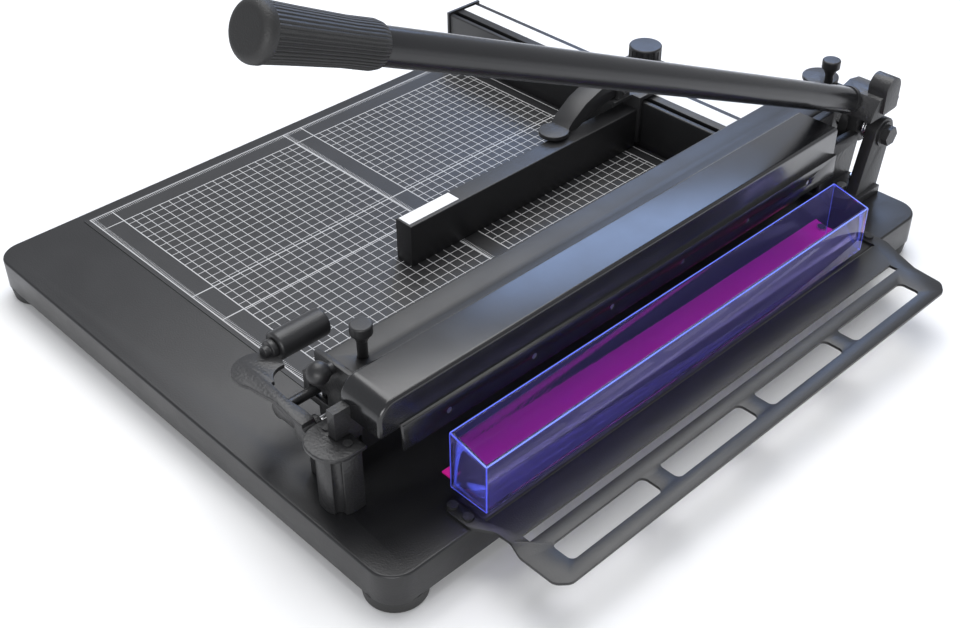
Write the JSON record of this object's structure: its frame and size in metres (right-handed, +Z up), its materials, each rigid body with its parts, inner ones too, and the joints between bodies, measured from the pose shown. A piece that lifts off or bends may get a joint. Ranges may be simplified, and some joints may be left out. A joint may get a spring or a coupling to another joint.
{
  "type": "guillotine paper cutter",
  "caption": "Flat-bed guillotine paper cutter with a long raised handle, level knife beam, press bar with lever, sliding back gauge, clear scrap tray and side frame.",
  "frame": {"origin": "on the floor, under the middle of the whole cutter's outline", "axes": "+X to the right across the knife, +Y from the front edge to the rear rail, +Z up"},
  "size_m": [0.6206, 0.6894, 0.4305],
  "materials": {
    "black_paint": "satin",
    "beam_paint": "gloss",
    "rubber": "matt",
    "zinc": "zinc plated",
    "steel": "ground",
    "mat": "matt print",
    "stick": "smooth",
    "tray": "clear",
    "black_plastic": "fine grain",
    "black_alu": "anodised",
    "white_film": "printed",
    "chrome": "polished"
  },
  "bodies": {
    "base": {"base_shell": "black_paint", "base_ribs": "zinc", "feet": "rubber", "foot_screws": "zinc", "table_mat": "mat", "stick_channel": "zinc", "cutting_stick": "stick", "stick_screws": "zinc", "front_post": "black_paint", "front_cap": "black_paint", "cap_screws": "black_paint", "rear_post": "black_paint", "rear_post_bolts": "zinc", "pivot_bolt": "black_paint", "pivot_nut": "zinc", "return_spring": "steel", "guide_rods": "steel", "lever_pin": "chrome", "rear_rail": "black_alu", "rail_ends": "black_plastic", "rail_scale": "white_film", "rail_screws": "zinc", "scrap_tray": "tray", "tray_spacers": "black_plastic", "tray_screws": "zinc", "side_frame": "black_paint", "frame_screws": "black_paint"},
    "handle": {"handle_hub": "black_paint", "drive_roller": "steel", "handle_tube": "black_paint", "tube_collar": "black_plastic", "handle_grip": "rubber", "grip_cap": "rubber"},
    "knife": {"knife_beam": "beam_paint", "front_guide": "black_paint", "rear_guide": "black_paint", "blade": "steel", "blade_screws": "zinc"},
    "press": {"press_bar": "black_alu", "press_pad": "rubber", "press_end": "black_paint", "press_shoe": "black_paint", "press_knob": "black_plastic"},
    "front_screw": {"thumb_screw_front": "black_plastic"},
    "rear_screw": {"thumb_screw_rear": "black_plastic"},
    "lever": {"clamp_lever": "black_paint", "grip_post": "black_paint", "lever_grip": "black_plastic"},
    "gauge": {"fence": "black_alu", "fence_label": "white_film", "slider": "black_paint", "cam_pin": "steel"},
    "cam": {"cam_lever": "black_plastic"},
    "lock": {"lock_knob": "black_plastic"}
  },
  "joints": [
    {"name": "handle_pivot", "type": "hinge", "parent": "base", "child": "handle", "pos_m": [0.16025, 0.31266, 0.103], "axis": [1, 0, 0], "range_deg": [0, 22.5], "stiffness_Nm_per_rad": 6, "springref_deg": -74.48},
    {"name": "knife_slide", "type": "slide", "parent": "base", "child": "knife", "axis": [0, 0, -1], "range_m": [0, 0.0503]},
    {"name": "clamp_lever_pivot", "type": "hinge", "parent": "base", "child": "lever", "pos_m": [0.11425, -0.30534, 0.09], "axis": [0, 1, 0], "range_deg": [-33, 48]},
    {"name": "press_slide", "type": "slide", "parent": "base", "child": "press", "axis": [0, 0, 1], "range_m": [-0.0157, 0.0228]},
    {"name": "front_screw_turn", "type": "hinge", "parent": "press", "child": "front_screw", "pos_m": [0.11025, -0.24834, 0.13], "axis": [0, 0, 1], "range_deg": [-180, 180]},
    {"name": "rear_screw_turn", "type": "hinge", "parent": "press", "child": "rear_screw", "pos_m": [0.11025, 0.31766, 0.13], "axis": [0, 0, 1], "range_deg": [-180, 180]},
    {"name": "gauge_slide", "type": "slide", "parent": "base", "child": "gauge", "axis": [1, 0, 0], "range_m": [-0.205, 0.105]},
    {"name": "cam_lever_pivot", "type": "hinge", "parent": "gauge", "child": "cam", "pos_m": [-0.05675, 0.20566, 0.102], "axis": [-1, 0, 0], "range_deg": [0, 70]},
    {"name": "lock_knob_turn", "type": "hinge", "parent": "gauge", "child": "lock", "pos_m": [-0.07575, 0.27565, 0.1], "axis": [0, 0, 1], "range_deg": [-90, 90]}
  ],
  "couplings": [
    {"joint": "knife_slide", "follows": "handle_pivot", "m_per_rad": 0.12807},
    {"joint": "press_slide", "follows": "clamp_lever_pivot", "m_per_rad": 0.0272}
  ]
}
